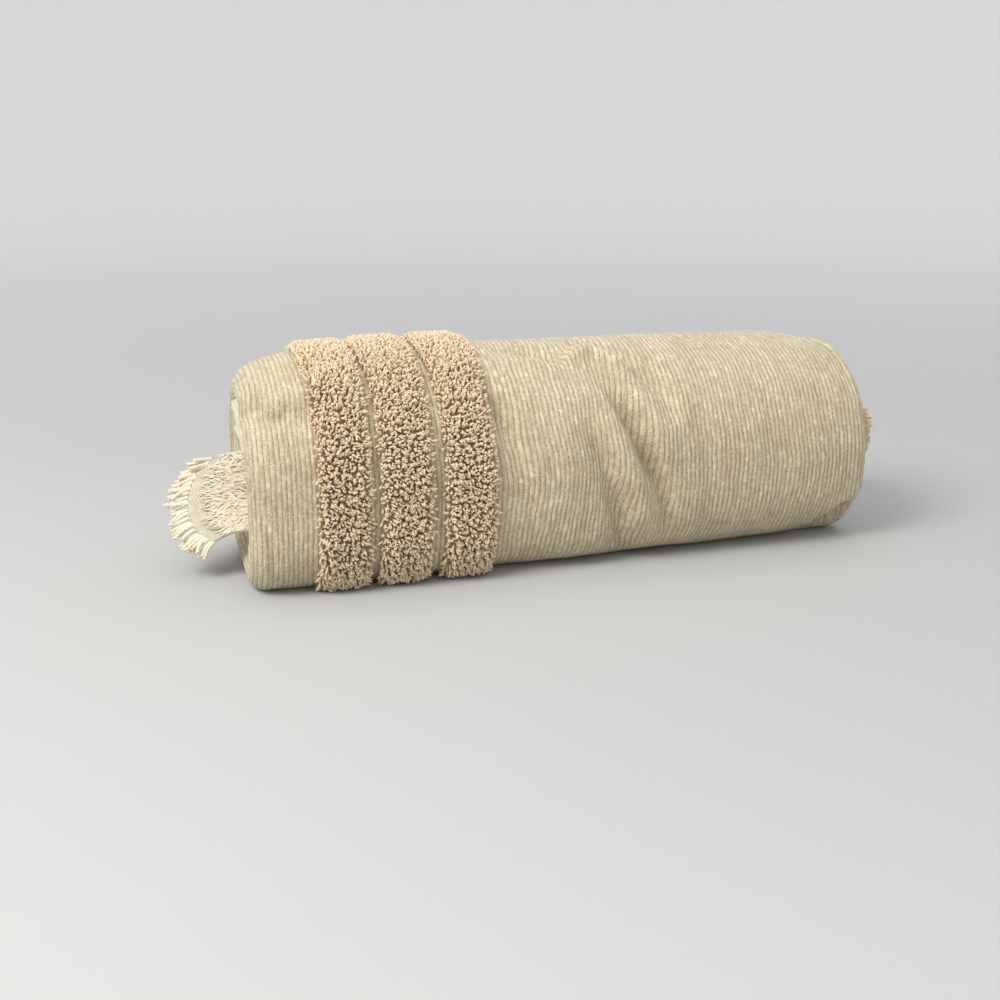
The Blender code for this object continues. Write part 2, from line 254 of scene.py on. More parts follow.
def add_piece(name, points, quads, finish, weave=None, shade=None):
    """Makes a mesh piece. weave is each point's place on the flat cloth, and shade its tone."""
    mesh = bpy.data.meshes.new(name)
    points = np.asarray(points, np.float32).reshape(-1, 3)
    mesh.vertices.add(len(points))
    mesh.vertices.foreach_set("co", points.ravel())
    mesh.loops.add(quads.size)
    mesh.loops.foreach_set("vertex_index", quads.ravel().astype(np.int32))
    mesh.polygons.add(len(quads))
    mesh.polygons.foreach_set("loop_start", np.arange(0, quads.size, 4, dtype=np.int32))
    mesh.update(calc_edges=True)
    mesh.validate()
    if weave is not None:
        flat = np.zeros((len(points), 3), np.float32)
        flat[:, :2] = np.asarray(weave).reshape(-1, 2)
        places = mesh.attributes.new("weave", "FLOAT_VECTOR", "POINT")
        places.data.foreach_set("vector", flat.ravel())
    if shade is not None:
        tones = mesh.attributes.new("shade", "FLOAT", "POINT")
        tones.data.foreach_set("value", np.asarray(shade, np.float32).ravel())
    mesh.shade_smooth()
    mesh.materials.append(finish)
    piece = bpy.data.objects.new(name, mesh)
    bpy.context.scene.collection.objects.link(piece)
    return piece


SIDES = 4  # of a yarn's tube


def tubes(paths, radii, rng, sides=SIDES):
    """Points and faces of many tubes: paths is (tube, step, xyz), and radii is (tube, step)."""
    count, steps, _ = paths.shape
    heading = unit(np.gradient(paths, axis=1))
    helper = unit(np.cross(heading.mean(1), rng.normal(size=(count, 3))))[:, None, :]
    first = unit(np.cross(heading, np.broadcast_to(helper, heading.shape)))
    second = np.cross(heading, first)
    turn = np.arange(sides) * 2 * math.pi / sides
    ring = first[:, :, None] * np.cos(turn)[:, None] + second[:, :, None] * np.sin(turn)[:, None]
    points = paths[:, :, None] + ring * radii[:, :, None, None]
    one = grid_quads(steps, sides, closed=True)
    caps = [(steps - 1) * sides + np.array((0, k, k + 1, k + 2)) for k in range(1, sides - 2, 2)]
    one = np.vstack((one, *caps))
    starts = np.arange(count) * steps * sides
    quads = (one[None] + starts[:, None, None]).reshape(-1, 4)
    return points.reshape(-1, 3), quads


def joined(parts):
    """One set of points, faces and tones from several."""
    offset, points, quads, shades = 0, [], [], []
    for some_points, some_quads, some_shades in parts:
        points.append(np.reshape(some_points, (-1, 3)))
        quads.append(some_quads + offset)
        shades.append(np.ravel(some_shades))
        offset += len(points[-1])
    return np.vstack(points), np.vstack(quads), np.concatenate(shades)


# Materials

def add_node(tree, kind, inputs=None, **settings):
    made = tree.nodes.new(kind)
    for name, value in settings.items():
        setattr(made, name, value)
    for key, value in (inputs or {}).items():
        if isinstance(value, bpy.types.NodeSocket):
            tree.links.new(value, made.inputs[key])
        else:
            made.inputs[key].default_value = value
    return made


def maths(tree, operation, *values):
    made = add_node(tree, "ShaderNodeMath", dict(enumerate(values)), operation=operation)
    return made.outputs[0]


def mixed(tree, share, first, second, blend_type="MIX"):
    """A mix of two colours; a plain colour is (red, green, blue)."""
    sides = [(*side, 1) if isinstance(side, tuple) else side for side in (first, second)]
    made = add_node(tree, "ShaderNodeMix", {0: share, 6: sides[0], 7: sides[1]},
                    data_type="RGBA", blend_type=blend_type)
    return made.outputs[2]


def stepped(tree, value, low, high):
    """0 where the value is low, 1 where it is high, and a ramp between."""
    made = add_node(tree, "ShaderNodeMapRange", {"Value": value, "From Min": low, "From Max": high},
                    interpolation_type="SMOOTHSTEP")
    return made.outputs[0]


def noisy(tree, vector, scale, detail=2.0, roughness=0.5):
    made = add_node(tree, "ShaderNodeTexNoise", {"Vector": vector, "Scale": scale,
                                                 "Detail": detail, "Roughness": roughness})
    return made.outputs[0]


def tinted(tree, colour, share, most, tint):
    """The colour, turned towards the tint by up to most where share is 1."""
    return mixed(tree, maths(tree, "MULTIPLY", share, most), colour, tint)


def new_material(name, roughness=0.9, specular=0.2, sheen=0.25):
    made = bpy.data.materials.new(name)
    made.use_nodes = True
    tree = made.node_tree
    shader = tree.nodes["Principled BSDF"]
    shader.inputs["Roughness"].default_value = roughness
    shader.inputs["Specular IOR Level"].default_value = specular
    shader.inputs["Sheen Weight"].default_value = sheen
    shader.inputs["Sheen Roughness"].default_value = 0.6
    return made, tree, shader


def finish_colour(tree, shader, colour, height, distance, strength):
    """Links a colour and a bump of that height to the shader."""
    tree.links.new(colour, shader.inputs["Base Color"])
    bump = add_node(tree, "ShaderNodeBump", {"Height": height, "Distance": distance,
                                             "Strength": strength})
    tree.links.new(bump.outputs[0], shader.inputs["Normal"])


# Lengths along a rib's yarn, in metres
SLUB = 0.045  # of its lighter and darker stretches
STREAK = 0.011  # of the streaks that run over several ribs
PALE_SPOT = 0.006
TUFT = 0.0024
# A pale colour, painted as highlight on the rib crests
CREST_HIGHLIGHT = (0.90, 0.83, 0.66)
OWN_NOISE = 7.31  # sets the noise of one rib well apart from the next rib's


def chenille(name, light, dark, fleck_and_groove_shade, fleck_share=0.5):
    """Ribbed chenille: each rib is a slubby yarn, light and dark along its length, with flecks.
    The grooves between ribs are darkened as painted shade, and pale spots on the crests are painted
    highlight.
    """
    made, tree, shader = new_material(name)
    place = add_node(tree, "ShaderNodeAttribute", attribute_name="weave").outputs["Vector"]
    parts = add_node(tree, "ShaderNodeSeparateXYZ", {0: place})
    ribs = maths(tree, "DIVIDE", parts.outputs[0], RIB)
    rib = maths(tree, "FLOOR", ribs)
    off_crest = maths(tree, "ABSOLUTE", maths(tree, "SUBTRACT", maths(tree, "FRACT", ribs), 0.5))

    def drawn_out(length, per_rib):
        """Places for noise with features of that length, and so many across each rib."""
        along = maths(tree, "DIVIDE", parts.outputs[1], length)
        across = maths(tree, "MULTIPLY", ribs, per_rib)
        return add_node(tree, "ShaderNodeCombineXYZ", {0: across, 1: along}).outputs[0]

    def of_one_rib(length, seed):
        """Noise that is each rib's own, with features of that length along it."""
        along = maths(tree, "DIVIDE", parts.outputs[1], length)
        across = maths(tree, "MULTIPLY", rib, OWN_NOISE)
        vector = add_node(tree, "ShaderNodeCombineXYZ", {0: across, 1: along, 2: seed})
        return noisy(tree, vector.outputs[0], 1.0)

    # Light and dark stretches
    streaks = drawn_out(STREAK, 1.7)
    streak = stepped(tree, noisy(tree, streaks, 1.0, 4.0, 0.65), 0.38, 0.62)
    slub = stepped(tree, of_one_rib(SLUB, 1.5), 0.30, 0.70)
    lightness = maths(tree, "ADD", maths(tree, "MULTIPLY", streak, 0.65),
                      maths(tree, "MULTIPLY", slub, 0.35))
    colour = mixed(tree, lightness, dark, light)
    broad = stepped(tree, noisy(tree, place, 22.0, 3.0), 0.35, 0.70)
    colour = tinted(tree, colour, broad, 0.20, light)

    # Painted shade in the grooves between ribs, in the fleck colour and broken up by noise, and
    # flecks all over
    groove_shade = stepped(tree, off_crest, 0.22, 0.50)
    uneven = stepped(tree, noisy(tree, place, 480.0), 0.30, 0.58)
    colour = tinted(tree, colour, maths(tree, "MULTIPLY", groove_shade, uneven), 0.72, fleck_and_groove_shade)
    specks = stepped(tree, noisy(tree, place, 620.0, 2.0, 0.6), 0.56, 0.68)
    colour = tinted(tree, colour, specks, fleck_share, fleck_and_groove_shade)

    # The tufts of the yarn, and pale spots along it that are kept to the rib crests as painted
    # highlight
    tufts = noisy(tree, drawn_out(TUFT, 2.6), 1.0, 2.0, 0.6)
    colour = tinted(tree, colour, stepped(tree, tufts, 0.42, 0.66), 0.42, dark)
    pale = stepped(tree, of_one_rib(PALE_SPOT, 4.5), 0.54, 0.74)
    crest = maths(tree, "SUBTRACT", 1.0, groove_shade)
    colour = tinted(tree, colour, maths(tree, "MULTIPLY", pale, crest), 0.55, CREST_HIGHLIGHT)

    fuzz = maths(tree, "ADD", noisy(tree, place, 1100.0, 3.0, 0.7), noisy(tree, streaks, 2.0))
    finish_colour(tree, shader, colour, fuzz, 0.0009, 0.9)
    return made


def pile(name, root, body, tip):
    """Cut pile, coloured along each stub from root to tip: the dark root colour is painted shade
    down between the tufts, and a paler tip colour is painted highlight at their tips.
    """
    made, tree, shader = new_material(name, roughness=0.95, sheen=0.35)
    shade = add_node(tree, "ShaderNodeAttribute", attribute_name="shade").outputs["Fac"]
    place = add_node(tree, "ShaderNodeTexCoord").outputs["Object"]
    colour = mixed(tree, stepped(tree, shade, 0.05, 0.55), root, body)
    colour = mixed(tree, stepped(tree, shade, 0.55, 1.05), colour, tip)
    mottle = stepped(tree, noisy(tree, place, 260.0, 3.0), 0.35, 0.65)
    colour = tinted(tree, colour, mottle, 0.25, tip)
    finish_colour(tree, shader, colour, noisy(tree, place, 1500.0, 3.0, 0.7), 0.0008, 0.7)
    return made


THREAD = 0.0024  # from one thread of the plain weave to the next but one


def plain_weave(name, light, dark):
    """Fine plain weave, one thread over and one under, with painted shade where a thread goes under,
    which greys the ecru cloth.
    """
    made, tree, shader = new_material(name, sheen=0.15)
    place = add_node(tree, "ShaderNodeAttribute", attribute_name="weave").outputs["Vector"]
    parts = add_node(tree, "ShaderNodeSeparateXYZ", {0: place})
    waves = [maths(tree, "SINE", maths(tree, "MULTIPLY", part, 2 * math.pi / THREAD))
             for part in parts.outputs[:2]]
    over = maths(tree, "MULTIPLY", *waves)
    # The dark colour is painted shade where a thread goes under the next
    colour = mixed(tree, stepped(tree, over, -0.8, 0.8), dark, light)
    stain = stepped(tree, noisy(tree, place, 160.0, 3.0), 0.35, 0.7)
    colour = tinted(tree, colour, stain, 0.5, light)
    finish_colour(tree, shader, colour, over, 0.0004, 0.7)
    return made


NEAR_GREYS = ((0.485, 0.492, 0.494), (0.495, 0.502, 0.504))
FAR_GREY = (0.84, 0.845, 0.85)
GREY_REACH = (0.3, 3.2)  # distances from the middle where the far grey starts, and where it is full


def studio_grey():
    """The stage's matt grey, which is paler at the wall."""
    made, tree, shader = new_material("studio_grey", roughness=0.95, specular=0.1, sheen=0.0)
    place = add_node(tree, "ShaderNodeTexCoord").outputs["Object"]
    reach = add_node(tree, "ShaderNodeVectorMath", {0: place}, operation="LENGTH").outputs["Value"]
    colour = mixed(tree, noisy(tree, place, 3.0), *NEAR_GREYS)
    colour = mixed(tree, stepped(tree, reach, *GREY_REACH), colour, FAR_GREY)
    tree.links.new(colour, shader.inputs["Base Color"])
    return made


# Light, dark and fleck colours of the chenille; the fleck colour also serves as painted shade in the
# grooves between ribs
ECRU = ((0.80, 0.71, 0.51), (0.49, 0.395, 0.245), (0.19, 0.13, 0.06))
# A lighter copy of the ecru, painted light for the left end, which faces the key light
ECRU_PAINTED_LIT = ((0.88, 0.81, 0.63), (0.74, 0.66, 0.48), (0.46, 0.37, 0.23))
chenille_ecru = chenille("chenille_ecru", *ECRU)
chenille_ecru_painted_lit = chenille("chenille_ecru_painted_lit", *ECRU_PAINTED_LIT, fleck_share=0.3)
# The root colours are painted shade down among the tufts. The tan pile's pale tip colour is painted
# highlight; the cream yarn's peach tip colour is that of the fringe's frayed ends.
tan_pile = pile("tan_pile", (0.46, 0.31, 0.16), (0.80, 0.62, 0.395), (0.92, 0.77, 0.545))
cream_yarn = pile("cream_yarn", (0.66, 0.57, 0.42), (0.90, 0.84, 0.69), (0.90, 0.78, 0.62))
# Ecru weave, its dark colour painted shade between the threads
weave_painted_shade = plain_weave("weave_painted_shade", (0.82, 0.77, 0.64), (0.40, 0.37, 0.29))


# The outermost turn

# Unevenness: its height, its length along the roll, its degrees around it, and its seed
BUMPS = ((0.0012, 0.07, 18, 21), (0.0005, 0.02, 6, 22))
RIB_DRIFT = ((0.0022, 0.11, 26, 31), (0.0007, 0.03, 7, 32))
SWELLING = 0.006  # length along the yarn of its thicker spots
SWELLING_SEED = 23


def sheet_place(arc):
    """(x, inset) of the cloth at a distance along it from the roll's middle, over the folds."""
    flat = LENGTH / 2 - FOLD_RADIUS
    turn = np.maximum(np.abs(arc) - flat, 0) / FOLD_RADIUS
    x = np.sign(arc) * (np.minimum(np.abs(arc), flat) + FOLD_RADIUS * np.sin(turn))
    return x, FOLD_RADIUS * (1 - np.cos(turn))


def cloth_rows():
    """Distances along the cloth of its rows of points: four to a rib, and few beneath the pile."""
    reach = LENGTH / 2 - FOLD_RADIUS + FOLD_RADIUS * math.radians(FOLD_TURN)
    step = RIB / ROWS_PER_RIB
    rows = np.arange(-math.floor(reach / step), math.floor(reach / step) + 1) * step
    hidden = PILE_WIDTH / 2 - HIDDEN_INSET
    keep = np.all([np.abs(rows - centre) > hidden for centre in PILE_CENTRES], axis=0)
    extra = [np.arange(centre - hidden + step, centre + hidden, HIDDEN_STEP)
             for centre in PILE_CENTRES]
    return np.sort(np.concatenate((rows[keep], *extra)))


def unevenness(arc, up, waves):
    return sum(height * noise(arc / length, up / degrees, seed)
               for height, length, degrees, seed in waves)


def bell(value, middle, width):
    """1 at the middle, falling away to 0 on both sides."""
    return np.exp(-(((value - middle) / width) ** 2))


def rib_bow(arc, up):
    """How far the ribs are pulled out of line, along the roll."""
    pull = 0.006 * bell(arc, -0.025, 0.035) * bell(up, 8, 32)
    straight_at_ends = smooth((LENGTH / 2 - 0.02 - np.abs(arc)) / 0.03)
    return pull + unevenness(arc, up, RIB_DRIFT) * straight_at_ends


def make_cloth():
    turn = np.linspace(FREE_EDGE, FREE_EDGE - 360 - TUCK, COLUMNS)
    arcs, ups = np.meshgrid(cloth_rows(), turn, indexing="ij")
    x, inset = sheet_place(arcs)
    before_fold = inset < 1e-6
    tucked = smooth((FREE_EDGE - 360 + TUCK_SPAN - ups) / TUCK_SPAN)
    proud = EDGE_PROUD * smooth((ups - FREE_EDGE + EDGE_SPAN) / EDGE_SPAN) - TUCK_DEPTH * tucked
    hem = smooth((ups - FREE_EDGE + HEM_SPAN) / HEM_SPAN) * HEM_DEPTH
    base = on_roll(x + rib_bow(arcs, ups) * before_fold, ups,
                   proud - inset - hem + unevenness(arcs, ups, BUMPS), CREASES + FINE_CREASES)
    base = above(base, LIMIT + inset * 0.5)
    out = grid_normals(base)
    centre = base.mean(axis=(0, 1))
    out *= np.sign(np.sum(out * (base - centre), axis=-1).mean())
    ribs = arcs / RIB
    ridge = np.abs(np.cos(math.pi * ribs)) ** 0.8
    thick = 1 + 0.65 * noise(np.floor(ribs + 0.5) * 3.7, ups * ARC / SWELLING, SWELLING_SEED)
    unpressed = smooth((base[..., 2] - 0.003) / 0.010)
    points = above(base + out * (RIB_HEIGHT * ridge * thick * unpressed)[..., None], LIMIT)
    weave = np.stack((arcs + RIB / 2, (ups - FREE_EDGE) * ARC), -1)
    quads = grid_quads(*arcs.shape)
    return add_piece("bedspread_cloth", points, quads, chenille_ecru, weave)


# The inner turns, which show at both ends

TURNS = 6
END_COLUMNS = 90  # points to a turn
END_PROFILE = 14  # faces across a fold
RIM_INSET = FOLD_RADIUS * 1.3
CROWN_HEIGHT = 0.010  # of a fold, above the valleys beside it
SLIT = (0.52, 0.06)  # where the slit between a fold's two layers is across it, and its width
SLIT_DEPTH = 0.0035
LEAST_SUNK = 0.001  # how far the crown of the outermost fold lies within the roll's end
TOP_BULGE = 0.008  # how far the outer folds come out, at the top of the left end
TOP_BULGE_WIDTH = 50  # degrees


def make_end_turns(side, name, finish):
    """The folds of the inner turns: a spiral of rounded ridges, each with a slit between layers."""
    size_seed, depth_seed = (41, 43) if side > 0 else (42, 44)
    theta = np.linspace(0, 1, TURNS * END_COLUMNS + 1) * TURNS
    thetas, ts = np.meshgrid(theta, np.linspace(0, 1, END_PROFILE + 1), indexing="ij")
    up = FREE_EDGE - 360 * thetas
    rim = on_roll(side * LENGTH / 2, up, -RIM_INSET)
    middle = rim.mean(axis=(0, 1))
    share = (thetas + ts) / (TURNS + 1)
    uneven = 0.012 * noise(thetas * 5, ts * 0.5, size_seed)
    size = np.clip(1 - share + uneven * (1 - share), 0, 1)
    points = middle + (rim - middle) * size[..., None]
    crown = np.sqrt(np.clip(1 - (2 * ts - 1) ** 2, 0, 1))
    slit = bell(ts, *SLIT) * SLIT_DEPTH
    sunk = CROWN_HEIGHT * (1 - crown) + slit + END_DISH * share + LEAST_SUNK
    sunk += 0.0022 * (1 + noise(thetas * 3, ts * 0.7, depth_seed))
    if side < 0:
        from_top = up + 360 * np.round((90 - up) / 360) - 90
        sunk -= TOP_BULGE * bell(from_top, 0, TOP_BULGE_WIDTH) * smooth(1 - share)
    points[..., 0] -= side * sunk
    points = above(points, 0.004)
    weave = np.stack((ts * 0.022, thetas * 0.4), -1)
    return add_piece(name, points, grid_quads(*thetas.shape), finish, weave)


# The pile stripes

STUB_SPACING = 0.00216
STUB_RADII = np.array((0.0009, 0.00102, 0.00110, 0.00100, 0.00045))  # from root to tip
STUB_STEPS = np.linspace(0, 1, len(STUB_RADII))
STUB_CURL = 0.0012
STUB_BEND = 1.35  # radians that a stub bends over by its tip
CLUMP = 0.0052  # between the middles of clumps of stubs
CLUMP_SCATTER = 0.42
TOP_OF_PILE = (84, 34)  # where the pile stands fullest, and its width, in degrees
BOTTOM_OF_PILE = (-34, 18)  # where it bushes out next to the floor
BED_PROUD = 0.0026  # of the cloth that the stubs stand in
BED_FLOOR = 0.002


def scattered(cells):
    """Two numbers from -1 to 1 for each cell of a grid, always the same for the same cell."""
    first = np.sin(cells[:, 0] * 12.9898 + cells[:, 1] * 78.233) * 43758.5453
    second = np.sin(cells[:, 0] * 39.3468 + cells[:, 1] * 11.135) * 24634.6345
    return 2 * (np.stack((first, second), -1) % 1) - 1


def nearest_clump(flat):
    """The distance from each place on the flat cloth to the middle of its clump, and the way."""
    cell = np.floor(flat / CLUMP).astype(int)
    best, towards = np.full(len(flat), np.inf), np.zeros((len(flat), 2))
    for i in (-1, 0, 1):
        for j in (-1, 0, 1):
            near = cell + (i, j)
            centre = (near + 0.5 + CLUMP_SCATTER * scattered(near)) * CLUMP
            distance = np.linalg.norm(centre - flat, axis=-1)
            closer = distance < best
            best = np.where(closer, distance, best)
            towards = np.where(closer[:, None], centre - flat, towards)
    return best, towards


def stubs(x, up, lengths, rng):
    """Curly stubs of yarn rooted at places on the roll, leaning together in clumps."""
    count, t = len(x), STUB_STEPS
    root = above(on_roll(x, up), PILE_SQUASHED + 0.0004)
    along = np.array((1.0, 0, 0))
    around = unit(on_roll(x, up + 1.0) - on_roll(x, up - 1.0))
    out = unit(np.cross(along, around))
    axis = np.array((0, 0, SECTIONS[5].belly))
    out *= np.sign(np.sum(out * (root - axis), axis=-1))[:, None]
    best, towards = nearest_clump(np.stack((x, up * ARC), -1))
    gather = 0.62 - 0.40 * bell(up, 88, 34)
    lean = towards * gather[:, None] + rng.normal(0, 0.0010, (count, 2))
    spin, phase = rng.uniform(3, 6, count), rng.uniform(0, 2 * math.pi, count)
    swirl = phase[:, None] + spin[:, None] * t
    leaning = lean[:, None] * (t**1.5)[None, :, None]
    curl = STUB_CURL * t
    side = leaning[..., :1] + (curl * np.cos(swirl))[..., None]
    turn = leaning[..., 1:] + (curl * np.sin(swirl))[..., None]
    rise = lengths[:, None] * np.sin(t * STUB_BEND) / math.sin(STUB_BEND)
    paths = (root[:, None] + out[:, None] * rise[..., None]
             + along * side + around[:, None] * turn)
    radii = STUB_RADII * rng.uniform(0.8, 1.2, (count, 1))
    # Each stub's tone differs at random and is darker away from its clump's middle, as painted shade
    # in the gaps between clumps; along the stub it rises from the root colour, painted shade,
    # towards the tip colour, painted highlight.
    own = rng.uniform(-0.16, 0.16, (count, 1)) + 0.10 - 0.30 * (best / CLUMP)[:, None]
    shade = np.clip(t**0.9 + own, 0, 1)
    return paths, radii, shade


def pile_bed(centre):
    """The cloth between the stubs, in the root colour as painted shade."""
    rows, columns = 7, 180
    offsets = np.linspace(-0.5, 0.5, rows) * (PILE_WIDTH - 0.003)
    ups = np.arange(columns) * 360 / columns
    x, up = np.meshgrid(centre + offsets, ups, indexing="ij")
    bed = above(on_roll(x, up, BED_PROUD), BED_FLOOR)
    return bed, grid_quads(rows, columns, closed=True), np.zeros(x.shape)


def make_stripe(index, node):
    rng = np.random.default_rng(100 + index)
    centre = PILE_CENTRES[index]
    across = round(PILE_WIDTH / STUB_SPACING)
    around = round(360 * ARC / STUB_SPACING)
    i, j = np.meshgrid(np.arange(across), np.arange(around), indexing="ij")
    offset = ((i + 0.5 + 0.5 * (j % 2)) / (across + 0.5) - 0.5).ravel() * PILE_WIDTH
    up = (j.ravel() / around) * 360 - 90
    offset += rng.uniform(-0.4, 0.4, len(up)) * STUB_SPACING
    up += rng.uniform(-0.4, 0.4, len(up)) * 360 / around
    from_below = np.abs((up + 90 + 180) % 360 - 180)
    free = smooth((from_below - 38) / 14)  # 0 beneath the roll, where the pile is pressed flat
    kept = rng.uniform(size=len(up)) < 0.35 + 0.65 * free
    offset, up, free = offset[kept], up[kept], free[kept]
    on_top = bell(up, *TOP_OF_PILE)
    full = smooth((PILE_WIDTH / 2 - np.abs(offset)) / 0.008)  # 0 at the stripe's edges
    lengths = 0.0062 + 0.0034 * full + 0.0010 * on_top + 0.0012 * bell(up, *BOTTOM_OF_PILE)
    lengths = lengths * rng.uniform(0.86, 1.14, len(up)) * (0.45 + 0.55 * free)
    x = centre + offset * (0.96 + 0.09 * on_top)
    paths, radii, shade = stubs(x, up, lengths, rng)
    splay = np.sign(offset) * 0.0022 * (1 - full)
    paths[..., 0] += splay[:, None] * STUB_STEPS**1.5
    points, quads = tubes(paths, radii, rng)
    tufts = (points, quads, np.repeat(shade, SIDES, axis=1))
    points, quads, shade = joined((tufts, pile_bed(centre)))
    points = above(points, 0.0012)
    piece = add_piece(f"tufted_stripe_{index + 1}", points, quads, tan_pile, shade=shade)
    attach(piece, "root")
    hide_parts(node)
    return piece


def make_end_tuft():
    """The pile of an inner turn's stripe, where it shows past the right end."""
    rng = np.random.default_rng(77)
    low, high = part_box("end_pile")
    count, t = 420, STUB_STEPS
    y = rng.uniform(low.y + 0.001, high.y - 0.001, count)
    z = rng.uniform(low.z, high.z, count) - 0.004
    root = np.stack((np.full(count, low.x - 0.006), y, z), -1)
    centre = np.array((low.x, (low.y + high.y) / 2, (low.z + high.z) / 2))
    fan = (root - centre) * (0.0, 0.5, 0.35) + rng.normal(0, 0.0016, (count, 3)) * (0, 1, 1)
    length = rng.uniform(0.010, 0.0165, count) * (1 - 0.25 * np.abs(z - centre[2]) / 0.015)
    phase = rng.uniform(0, 6.28, (count, 1)) + 4 * t
    curl = 0.0011 * t
    paths = root[:, None] + fan[:, None] * t[None, :, None]
    paths[..., 0] += length[:, None] * np.sin(t * 1.4)
    paths[..., 1] += curl * np.cos(phase)
    paths[..., 2] += curl * np.sin(phase) - 0.002 * t**2
    thickness = np.array((0.0010, 0.0012, 0.0013, 0.0012, 0.0005))
    radii = thickness * rng.uniform(0.8, 1.2, (count, 1))
    points, quads = tubes(paths, radii, rng)
    # Tones rise from the root colour, painted shade, towards the tip colour, painted highlight, and
    # differ at random
    tone = np.clip(t * 0.8 + rng.uniform(-0.2, 0.1, (count, 1)), 0, 1)
    shade = np.repeat(tone, SIDES, axis=1)
    piece = add_piece("end_tuft", points, quads, tan_pile, shade=shade)
    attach(piece, "root")
    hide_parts("end_pile")
    return piece


# The loose end: a tongue of cloth with its heading and fringe

def on_tongue(across, out, lift=0.0):
    """Points of the tongue: across it, from 0 at its lower corner to 1 at its upper one, and out
    from the roll, from 0 to 1 at its edge."""
    _, y, z, reach, droop = along_table(TONGUE, across)
    start = -LENGTH / 2 + TONGUE_START + END_SKEW * (y + 0.1) / 0.2 - TONGUE_CLEAR
    wave = 0.0012 * np.sin(across * 9 + out * 2.2)
    x = start - (reach + TONGUE_START) * out
    points = np.stack((x, y, z - droop * out**2 + wave), -1)
    return points + np.array(TONGUE_TILT) * np.asarray(lift)[..., None]


def make_loose_end():
    rows, columns = 34, 60
    out = np.linspace(-0.15, 1, rows)
    outs, acrosses = np.meshgrid(out, np.linspace(0, 1, columns), indexing="ij")
    ripple = 0.0003 * np.sin(acrosses * 230) * (outs > 0.5)
    points = on_tongue(acrosses, outs, ripple)
    weave = np.stack((outs * 0.045, acrosses * 0.085), -1)
    piece = add_piece("loose_end_cloth", points, grid_quads(rows, columns), weave_painted_shade, weave)
    thicken = piece.modifiers.new("thickness", "SOLIDIFY")
    thicken.thickness = 0.0020
    thicken.offset = 0
    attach(piece, "root")
    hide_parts("loose_end")
    return piece


def make_loose_pile():
    """Long cream pile, combed outwards over the half of the tongue that is next to the roll."""
    rng = np.random.default_rng(5)
    count, steps = 1300, 8
    across = rng.uniform(-0.02, 1.02, count)
    root_out = rng.uniform(-0.35, 0.42, count)
    t = np.linspace(0, 1, steps)
    run = rng.uniform(0.22, 0.48, count)
    sway = rng.normal(0, 0.05, count) + 0.10 * (across - 0.4)
    place_across = np.clip(across[:, None] + sway[:, None] * t, -0.02, 1.02)
    place_out = root_out[:, None] + run[:, None] * t
    lift = 0.0012 + 0.0038 * np.sin(t * 2.6) * rng.uniform(0.4, 1.3, (count, 1))
    wriggle = 0.0006 * np.sin(9 * t + rng.uniform(0, 6.28, (count, 1)))
    paths = on_tongue(place_across, place_out, lift)
    paths += wriggle[..., None] * (0, 1, 1)
    thickness = np.interp(t, (0, 0.7, 1), (0.00075, 0.00075, 0.0003))
    radii = thickness * rng.uniform(0.7, 1.2, (count, 1))
    points, quads = tubes(paths, radii, rng)
    # Tones are darker at the roots, as painted shade against the tongue, and rise towards the yarn's
    # tip colour
    tone = np.clip(0.35 + 0.5 * t + rng.uniform(-0.25, 0.2, (count, 1)), 0, 1)
    shade = np.repeat(tone, SIDES, axis=1)
    piece = add_piece("loose_end_pile", above(points, 0.002), quads, cream_yarn, shade=shade)
    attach(piece, "root")
    return piece


def fringe_paths(across, length, turn_more, rng, steps):
    """Centrelines of strands that leave the tongue's edge and bend down."""
    *_, reach, droop = along_table(TONGUE, across)
    dip = np.arctan2(2 * droop, reach)
    last = np.radians(FRINGE_TURN[0] + (FRINGE_TURN[1] - FRINGE_TURN[0]) * across) + turn_more
    paths = [on_tongue(across, np.ones(len(across)))]
    side = rng.normal(0, 0.25, len(across))
    step = length / (steps - 1)
    for k in range(1, steps):
        turn = dip + (last - dip) * k / steps
        move = np.stack((-np.cos(turn), side * np.sin(k / steps * 3), -np.sin(turn)), -1)
        paths.append(paths[-1] + unit(move) * step[:, None])
    return np.stack(paths, 1)


STRANDS = 46
PLIES = 2
STRAND_STEPS = 26
TWIST = 22  # radians along a strand
STRAND_SIDES = 6


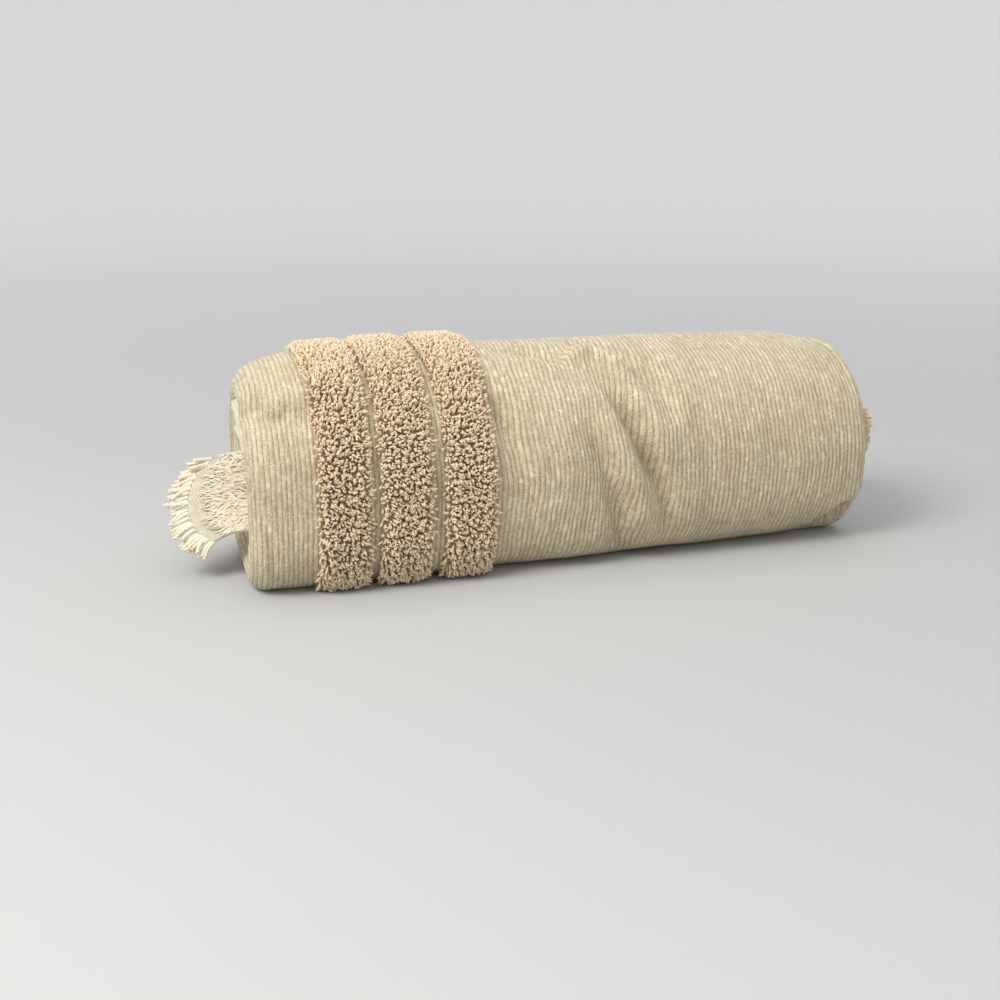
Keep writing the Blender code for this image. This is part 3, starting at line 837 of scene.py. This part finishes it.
def make_fringe():
    rng = np.random.default_rng(9)
    across = np.linspace(0.0, 1.0, STRANDS) + rng.normal(0, 0.012, STRANDS)
    across = np.clip(across, 0, 1)
    length = FRINGE_LENGTH * rng.uniform(0.72, 1.06, STRANDS)
    centre = fringe_paths(across, length, rng.normal(0, 0.20, STRANDS), rng, STRAND_STEPS)
    t = np.linspace(0, 1, STRAND_STEPS)
    heading = unit(np.gradient(centre, axis=1))
    first = unit(np.cross(heading, np.array((0.1, 1.0, 0.2))))
    second = np.cross(heading, first)
    spread = np.interp(t, (0, 0.86, 1), (0.00075, 0.00075, 0.0018))
    thickness = np.interp(t, (0, 0.9, 1), (0.00110, 0.00105, 0.00040))
    parts = []
    for ply in range(PLIES):
        turn = (t * TWIST + ply * math.pi)[None, :] + rng.uniform(0, 1, (STRANDS, 1))
        paths = (centre + first * (spread * np.cos(turn))[..., None]
                 + second * (spread * np.sin(turn))[..., None])
        radii = thickness * rng.uniform(0.85, 1.15, (STRANDS, 1))
        points, quads = tubes(paths, radii, rng, STRAND_SIDES)
        frayed = smooth((t - 0.6) / 0.4)
        tone = np.clip(0.55 + 0.5 * frayed + rng.uniform(-0.2, 0.1, (STRANDS, 1)), 0, 1)
        parts.append((points, quads, np.repeat(tone, STRAND_SIDES, axis=1)))
    points, quads, shade = joined(parts)
    piece = add_piece("fringe_strands", above(points, 0.001), quads, cream_yarn, shade=shade)
    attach(piece, "root")
    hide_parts("fringe")
    return piece


# Stage, camera and lights

def make_stage():
    """A pale floor that curves up into a wall all round."""
    radius, height, bend = 3.4, 2.6, 1.2
    flat = [(reach, 0.0) for reach in np.linspace(0.0, radius - bend, 6)]
    curve = [(radius - bend + bend * math.sin(angle), bend - bend * math.cos(angle))
             for angle in np.linspace(0.1, math.pi / 2, 12)]
    profile = np.array([*flat, *curve, (radius, height)])
    turn = np.linspace(0, 2 * math.pi, 73)[:-1]
    points = np.stack((profile[:, :1] * np.cos(turn), profile[:, :1] * np.sin(turn),
                       np.repeat(profile[:, 1:], len(turn), axis=1)), -1)
    quads = grid_quads(len(profile), len(turn), closed=True)
    floor = add_piece("studio_floor", points, quads, studio_grey())


def make_light(name, place, aim, size, power, colour):
    data = bpy.data.lights.new(name, "AREA")
    data.shape = "RECTANGLE"
    data.size, data.size_y = size
    data.energy = power
    data.color = colour
    lamp = bpy.data.objects.new(name, data)
    lamp.location = place
    lamp.rotation_euler = (Vector(aim) - Vector(place)).to_track_quat("-Z", "Y").to_euler()
    bpy.context.scene.collection.objects.link(lamp)


def make_camera(aim, azimuth, elevation, distance, angle):
    azimuth, elevation = math.radians(azimuth), math.radians(elevation)
    back = Vector((math.sin(azimuth) * math.cos(elevation),
                   -math.cos(azimuth) * math.cos(elevation), math.sin(elevation)))
    data = bpy.data.cameras.new("camera")
    data.angle = math.radians(angle)
    camera = bpy.data.objects.new("camera", data)
    camera.location = Vector(aim) + back * distance
    camera.rotation_euler = (-back).to_track_quat("-Z", "Y").to_euler()
    bpy.context.scene.collection.objects.link(camera)
    bpy.context.scene.camera = camera


def make_world(colour, strength):
    world = bpy.data.worlds.new("studio")
    world.use_nodes = True
    background = world.node_tree.nodes["Background"]
    background.inputs[0].default_value = (*colour, 1)
    background.inputs[1].default_value = strength
    bpy.context.scene.world = world


make_camera(aim=(-0.0388, 0.0057, 0.0400), azimuth=-18.5, elevation=15, distance=1.42, angle=36)
make_stage()
make_light("key", (-1.45, -0.75, 1.75), (0, 0, 0.1), (1.1, 1.1), 42, (1.0, 0.975, 0.93))
make_light("fill", (0.2, -2.2, 1.0), (0, 0, 0.1), (2.0, 1.6), 4, (1.0, 0.965, 0.91))
make_light("overhead", (0.5, 0.3, 2.2), (0.2, 0, 0), (2.2, 2.2), 12, (0.93, 0.97, 1.0))
make_world((1.0, 0.995, 0.98), 0.62)
bpy.context.scene.view_settings.view_transform = "Standard"

cloth = make_cloth()
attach(cloth, "root")
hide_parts("bedspread_roll")
# The left end's inner turns take the lighter copy of the ecru, painted light because that end faces
# the key light
for side, name, finish in ((-1, "inner_turns_left", chenille_ecru_painted_lit),
                           (1, "inner_turns_right", chenille_ecru)):
    turns = make_end_turns(side, name, finish)
    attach(turns, "root")
stripes = [make_stripe(index, f"pile_band_{index + 1}") for index in range(len(PILE_CENTRES))]
tuft = make_end_tuft()
tongue = make_loose_end()
loose_pile = make_loose_pile()
fringe = make_fringe()
